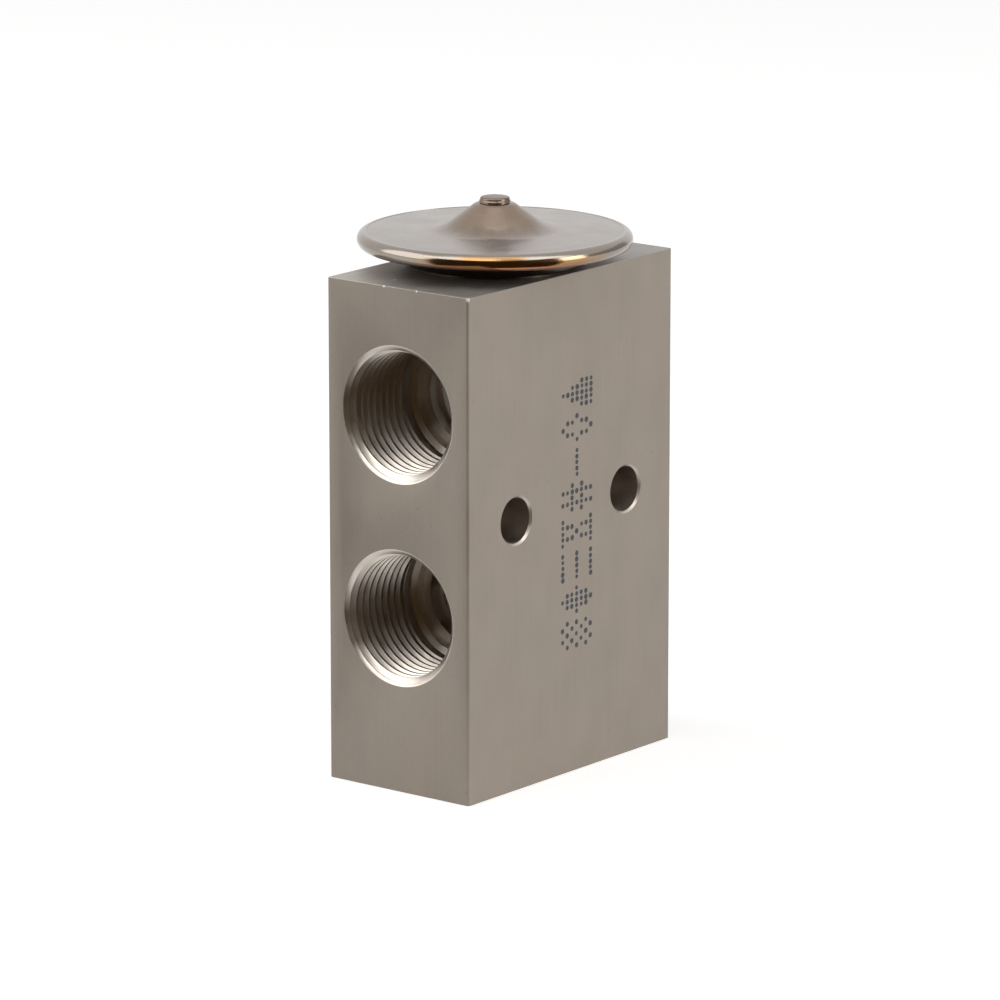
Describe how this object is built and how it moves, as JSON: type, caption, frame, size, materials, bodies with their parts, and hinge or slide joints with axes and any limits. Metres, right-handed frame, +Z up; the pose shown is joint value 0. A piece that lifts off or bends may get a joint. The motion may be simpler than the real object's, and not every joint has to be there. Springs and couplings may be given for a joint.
{
  "type": "refrigerant expansion valve",
  "caption": "Block-type refrigerant expansion valve: an aluminium block with threaded ports and cross bolt holes, a welded diaphragm head on top and a sprung ball valve inside.",
  "frame": {"origin": "centre of the flat base that the block stands on", "axes": "+Z up the block to the head, -Y out of the front port face with the two large ports, +X out of one bolt face, so the bolts run along X"},
  "size_m": [0.0394, 0.0472, 0.0828],
  "materials": {
    "block_aluminium": "matte extruded faces, machined bores",
    "head_steel": "satin pressed sheet",
    "weld_steel": "polished weld bead with heat tint",
    "spring_steel": "satin",
    "shaft_aluminium": "turned",
    "turned_brass": "turned",
    "seal_rubber": "matte"
  },
  "bodies": {
    "block": {"valve_body": "block_aluminium", "head_lower_cover": "head_steel", "head_upper_cover": "head_steel", "rim_weld_bead": "weld_steel", "diaphragm": "spring_steel", "charge_plug": "head_steel", "head_packing": "seal_rubber", "shaft_seal": "seal_rubber", "seal_washer": "spring_steel", "superheat_spring": "spring_steel"},
    "valve_train": {"thrust_plate": "spring_steel", "sensing_shaft": "shaft_aluminium", "working_rod": "spring_steel", "valve_ball": "spring_steel", "ball_holder": "turned_brass", "damper_spring": "spring_steel"},
    "screw_travel": {"adjuster_seal": "seal_rubber"},
    "screw": {"adjusting_screw": "turned_brass"}
  },
  "joints": [
    {"name": "valve_stroke", "type": "slide", "parent": "block", "child": "valve_train", "axis": [0, 0, -1], "range_m": [0, 0.0008], "stiffness_N_per_m": 8000, "deforming": ["superheat_spring", "diaphragm"]},
    {"name": "adjuster_travel", "type": "slide", "parent": "block", "child": "screw_travel", "axis": [0, 0, 1], "range_m": [-0.0008, 0.0008], "deforming": ["superheat_spring"]},
    {"name": "adjuster_turn", "type": "hinge", "parent": "screw_travel", "child": "screw", "pos_m": [0, -0.0015, 0.004], "axis": [0, 0, 1], "range_deg": [-270, 270]}
  ],
  "couplings": [
    {"joint": "adjuster_travel", "follows": "adjuster_turn", "m_per_rad": 0.00015915}
  ]
}
